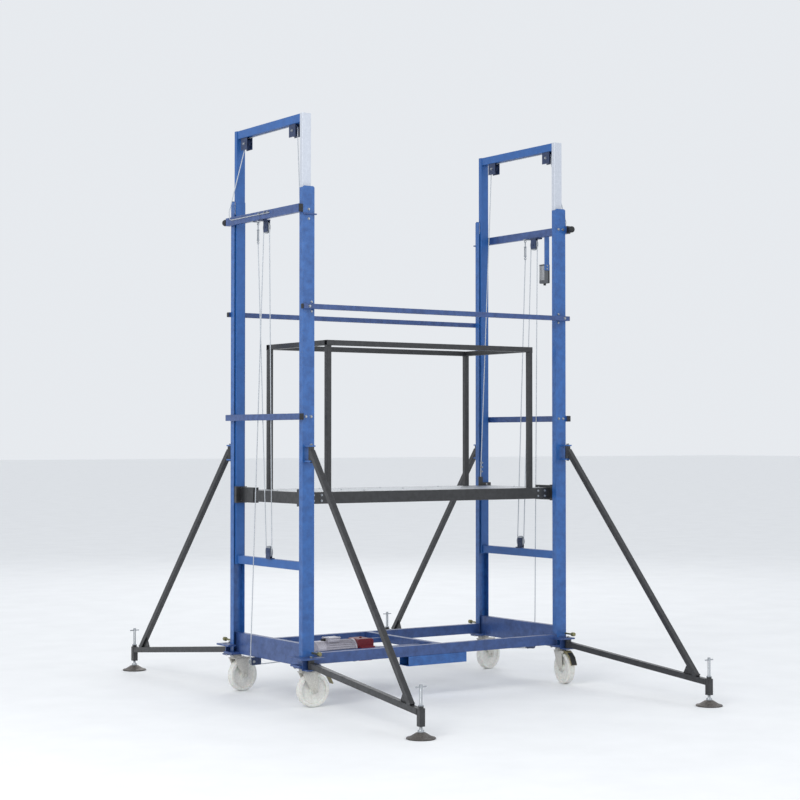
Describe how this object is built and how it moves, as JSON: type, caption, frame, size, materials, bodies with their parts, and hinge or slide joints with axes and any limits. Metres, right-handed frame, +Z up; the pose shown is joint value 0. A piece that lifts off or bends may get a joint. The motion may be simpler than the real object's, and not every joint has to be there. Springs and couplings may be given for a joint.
{
  "type": "baker scaffold",
  "caption": "Mobile work platform lifted by wire ropes between telescoping channel masts on a wheeled base with folding outriggers and a winch.",
  "frame": {"origin": "on the floor, at the middle of the base's footprint", "axes": "+X along the platform from the left mast to the right mast, +Y across it from front to rear, +Z up"},
  "size_m": [2.23, 3.5662, 3.5],
  "materials": {
    "blue_paint": "satin blue paint",
    "dark_steel": "satin black paint",
    "red_paint": "dark red paint",
    "bare_steel": "zinc plated",
    "brass": "plain brass",
    "deck_aluminium": "mill finish sheet",
    "white_nylon": "white cast nylon",
    "yellow_paint": "yellow paint",
    "grey_plastic": "dark grey moulded plastic",
    "green_plastic": "green push button",
    "red_plastic": "red push button",
    "wire_rope": "laid steel wire",
    "black_rubber": "black moulded knobs"
  },
  "bodies": {
    "base": {"base_frame": "blue_paint", "underframe_box": "blue_paint", "lock_knobs": "brass", "mast_crossbars": "blue_paint", "mast_rungs": "blue_paint", "tie_bars": "blue_paint", "guide_pads": "white_nylon", "fixed_blocks": "dark_steel", "turnbuckles": "bare_steel", "winch_motor": "red_paint", "winch_gearbox": "blue_paint", "pendant_box": "grey_plastic", "hoist_ropes": "wire_rope", "hoist_falls": "wire_rope", "anchor_ropes": "wire_rope", "crossbar_knobs": "black_rubber", "mast_post_front_left": "blue_paint", "mast_post_front_right": "blue_paint", "mast_post_rear_left": "blue_paint", "mast_post_rear_right": "blue_paint"},
    "inner_left": {"inner_frame_left": "blue_paint", "inner_fittings_left": "dark_steel", "platform_ropes": "wire_rope"},
    "inner_right": {"inner_frame_right": "blue_paint", "inner_fittings_right": "dark_steel"},
    "platform": {"platform_frame": "dark_steel", "platform_carriages": "dark_steel", "deck_plates": "deck_aluminium", "guardrail": "dark_steel"},
    "drum": {"winch_drum": "bare_steel"},
    "up_button": {"button_up": "green_plastic"},
    "down_button": {"button_down": "red_plastic"},
    "fork_front_left": {"caster_fork_front_left": "bare_steel"},
    "wheel_front_left": {"caster_wheel_front_left": "white_nylon"},
    "outrigger_front_left": {"outrigger_front_left": "dark_steel"},
    "foot_front_left": {"jack_foot_front_left": "bare_steel"},
    "pedal_front_left": {"brake_pedal_front_left": "yellow_paint"},
    "fork_front_right": {"caster_fork_front_right": "bare_steel"},
    "wheel_front_right": {"caster_wheel_front_right": "white_nylon"},
    "outrigger_front_right": {"outrigger_front_right": "dark_steel"},
    "foot_front_right": {"jack_foot_front_right": "bare_steel"},
    "pedal_front_right": {"brake_pedal_front_right": "yellow_paint"},
    "fork_rear_left": {"caster_fork_rear_left": "bare_steel"},
    "wheel_rear_left": {"caster_wheel_rear_left": "white_nylon"},
    "outrigger_rear_left": {"outrigger_rear_left": "dark_steel"},
    "foot_rear_left": {"jack_foot_rear_left": "bare_steel"},
    "fork_rear_right": {"caster_fork_rear_right": "bare_steel"},
    "wheel_rear_right": {"caster_wheel_rear_right": "white_nylon"},
    "outrigger_rear_right": {"outrigger_rear_right": "dark_steel"},
    "foot_rear_right": {"jack_foot_rear_right": "bare_steel"},
    "hoist_sheave_left": {"hoist_sheave_left": "dark_steel"},
    "base_sheave_left": {"base_sheave_left": "dark_steel"},
    "lower_sheave_left": {"lower_sheave_left": "dark_steel"},
    "top_sheave_anchor_left": {"top_sheave_anchor_left": "dark_steel"},
    "top_sheave_fall_left": {"top_sheave_fall_left": "dark_steel"},
    "hoist_sheave_right": {"hoist_sheave_right": "dark_steel"},
    "base_sheave_right": {"base_sheave_right": "dark_steel"},
    "lower_sheave_right": {"lower_sheave_right": "dark_steel"},
    "top_sheave_anchor_right": {"top_sheave_anchor_right": "dark_steel"},
    "top_sheave_fall_right": {"top_sheave_fall_right": "dark_steel"}
  },
  "joints": [
    {"name": "lift_left_mast", "type": "slide", "parent": "base", "child": "inner_left", "axis": [0, 0, 1], "range_m": [-0.32, 1.7], "deforming": ["hoist_falls", "anchor_ropes"]},
    {"name": "lift_right_mast", "type": "slide", "parent": "base", "child": "inner_right", "axis": [0, 0, 1], "range_m": [-0.32, 1.7]},
    {"name": "lift_platform", "type": "slide", "parent": "inner_left", "child": "platform", "axis": [0, 0, 1], "range_m": [-0.32, 1.7], "deforming": ["platform_ropes"]},
    {"name": "swivel_front_left", "type": "hinge", "parent": "base", "child": "fork_front_left", "pos_m": [-0.965, -0.415, 0.22], "axis": [0, 0, 1], "continuous": true},
    {"name": "roll_front_left", "type": "hinge", "parent": "fork_front_left", "child": "wheel_front_left", "pos_m": [-0.91519, -0.41936, 0.1], "axis": [0.0872, 0.9962, 0], "continuous": true},
    {"name": "brake_front_left", "type": "hinge", "parent": "fork_front_left", "child": "pedal_front_left", "pos_m": [-0.88829, -0.42171, 0.206], "axis": [0.0872, 0.9962, 0], "range_deg": [-6, 9]},
    {"name": "swing_front_left", "type": "hinge", "parent": "base", "child": "outrigger_front_left", "pos_m": [-0.968, -0.488, 0.26], "axis": [0, 0, 1], "range_deg": [-41, 44]},
    {"name": "jack_front_left", "type": "slide", "parent": "outrigger_front_left", "child": "foot_front_left", "axis": [0, 0, 1], "range_m": [-0.085, 0.015]},
    {"name": "swivel_front_right", "type": "hinge", "parent": "base", "child": "fork_front_right", "pos_m": [0.965, -0.415, 0.22], "axis": [0, 0, 1], "continuous": true},
    {"name": "roll_front_right", "type": "hinge", "parent": "fork_front_right", "child": "wheel_front_right", "pos_m": [0.95632, -0.46424, 0.1], "axis": [0.9848, -0.1736, 0], "continuous": true},
    {"name": "brake_front_right", "type": "hinge", "parent": "fork_front_right", "child": "pedal_front_right", "pos_m": [0.95163, -0.49083, 0.206], "axis": [0.9848, -0.1736, 0], "range_deg": [-6, 9]},
    {"name": "swing_front_right", "type": "hinge", "parent": "base", "child": "outrigger_front_right", "pos_m": [0.968, -0.488, 0.26], "axis": [0, 0, 1], "range_deg": [-44, 41]},
    {"name": "jack_front_right", "type": "slide", "parent": "outrigger_front_right", "child": "foot_front_right", "axis": [0, 0, 1], "range_m": [-0.085, 0.015]},
    {"name": "swivel_rear_left", "type": "hinge", "parent": "base", "child": "fork_rear_left", "pos_m": [-0.965, 0.415, 0.22], "axis": [0, 0, 1], "continuous": true},
    {"name": "roll_rear_left", "type": "hinge", "parent": "fork_rear_left", "child": "wheel_rear_left", "pos_m": [-0.91549, 0.42196, 0.1], "axis": [-0.1392, 0.9903, 0], "continuous": true},
    {"name": "swing_rear_left", "type": "hinge", "parent": "base", "child": "outrigger_rear_left", "pos_m": [-0.968, 0.488, 0.26], "axis": [0, 0, 1], "range_deg": [-44, 41]},
    {"name": "jack_rear_left", "type": "slide", "parent": "outrigger_rear_left", "child": "foot_rear_left", "axis": [0, 0, 1], "range_m": [-0.085, 0.015]},
    {"name": "swivel_rear_right", "type": "hinge", "parent": "base", "child": "fork_rear_right", "pos_m": [0.965, 0.415, 0.22], "axis": [0, 0, 1], "continuous": true},
    {"name": "roll_rear_right", "type": "hinge", "parent": "fork_rear_right", "child": "wheel_rear_right", "pos_m": [1.01391, 0.4254, 0.1], "axis": [-0.2079, 0.9781, 0], "continuous": true},
    {"name": "swing_rear_right", "type": "hinge", "parent": "base", "child": "outrigger_rear_right", "pos_m": [0.968, 0.488, 0.26], "axis": [0, 0, 1], "range_deg": [-41, 44]},
    {"name": "jack_rear_right", "type": "slide", "parent": "outrigger_rear_right", "child": "foot_rear_right", "axis": [0, 0, 1], "range_m": [-0.085, 0.015]},
    {"name": "drum_turn", "type": "hinge", "parent": "base", "child": "drum", "pos_m": [-0.4, 0.05, 0.25], "axis": [0, 1, 0], "continuous": true},
    {"name": "turn_hoist_sheave_left", "type": "hinge", "parent": "base", "child": "hoist_sheave_left", "pos_m": [-0.98, 0.015, 2.86], "axis": [1, 0, 0], "continuous": true},
    {"name": "turn_base_sheave_left", "type": "hinge", "parent": "base", "child": "base_sheave_left", "pos_m": [-0.984, 0.165, 0.211], "axis": [0, 1, 0], "continuous": true},
    {"name": "turn_lower_sheave_left", "type": "hinge", "parent": "inner_left", "child": "lower_sheave_left", "pos_m": [-0.98, -0.02, 0.892], "axis": [1, 0, 0], "continuous": true},
    {"name": "turn_top_sheave_anchor_left", "type": "hinge", "parent": "inner_left", "child": "top_sheave_anchor_left", "pos_m": [-0.955, 0.307, 3.412], "axis": [1, 0, 0], "continuous": true},
    {"name": "turn_top_sheave_fall_left", "type": "hinge", "parent": "inner_left", "child": "top_sheave_fall_left", "pos_m": [-0.955, -0.276, 3.412], "axis": [1, 0, 0], "continuous": true},
    {"name": "turn_hoist_sheave_right", "type": "hinge", "parent": "base", "child": "hoist_sheave_right", "pos_m": [0.98, -0.13, 2.86], "axis": [1, 0, 0], "continuous": true},
    {"name": "turn_base_sheave_right", "type": "hinge", "parent": "base", "child": "base_sheave_right", "pos_m": [0.984, -0.099, 0.211], "axis": [0, 1, 0], "continuous": true},
    {"name": "turn_lower_sheave_right", "type": "hinge", "parent": "inner_right", "child": "lower_sheave_right", "pos_m": [0.98, 0.02, 0.892], "axis": [1, 0, 0], "continuous": true},
    {"name": "turn_top_sheave_anchor_right", "type": "hinge", "parent": "inner_right", "child": "top_sheave_anchor_right", "pos_m": [0.955, -0.307, 3.412], "axis": [1, 0, 0], "continuous": true},
    {"name": "turn_top_sheave_fall_right", "type": "hinge", "parent": "inner_right", "child": "top_sheave_fall_right", "pos_m": [0.955, 0.276, 3.412], "axis": [1, 0, 0], "continuous": true},
    {"name": "press_up", "type": "slide", "parent": "base", "child": "up_button", "axis": [-1, 0, 0], "range_m": [0, 0.004], "stiffness_N_per_m": 400},
    {"name": "press_down", "type": "slide", "parent": "base", "child": "down_button", "axis": [-1, 0, 0], "range_m": [0, 0.004], "stiffness_N_per_m": 400}
  ],
  "couplings": [
    {"joint": "lift_right_mast", "follows": "lift_left_mast", "ratio": 1},
    {"joint": "lift_platform", "follows": "lift_left_mast", "ratio": 1},
    {"joint": "drum_turn", "follows": "lift_left_mast", "rad_per_m": -51.948},
    {"joint": "turn_hoist_sheave_left", "follows": "lift_left_mast", "rad_per_m": -60.606},
    {"joint": "turn_base_sheave_left", "follows": "lift_left_mast", "rad_per_m": -100},
    {"joint": "turn_lower_sheave_left", "follows": "lift_left_mast", "rad_per_m": -30.303},
    {"joint": "turn_top_sheave_anchor_left", "follows": "lift_left_mast", "rad_per_m": -30.303},
    {"joint": "turn_top_sheave_fall_left", "follows": "lift_left_mast", "rad_per_m": -30.303},
    {"joint": "turn_hoist_sheave_right", "follows": "lift_left_mast", "rad_per_m": 60.606},
    {"joint": "turn_base_sheave_right", "follows": "lift_left_mast", "rad_per_m": 100},
    {"joint": "turn_lower_sheave_right", "follows": "lift_left_mast", "rad_per_m": -30.303},
    {"joint": "turn_top_sheave_anchor_right", "follows": "lift_left_mast", "rad_per_m": 30.303},
    {"joint": "turn_top_sheave_fall_right", "follows": "lift_left_mast", "rad_per_m": 30.303}
  ]
}
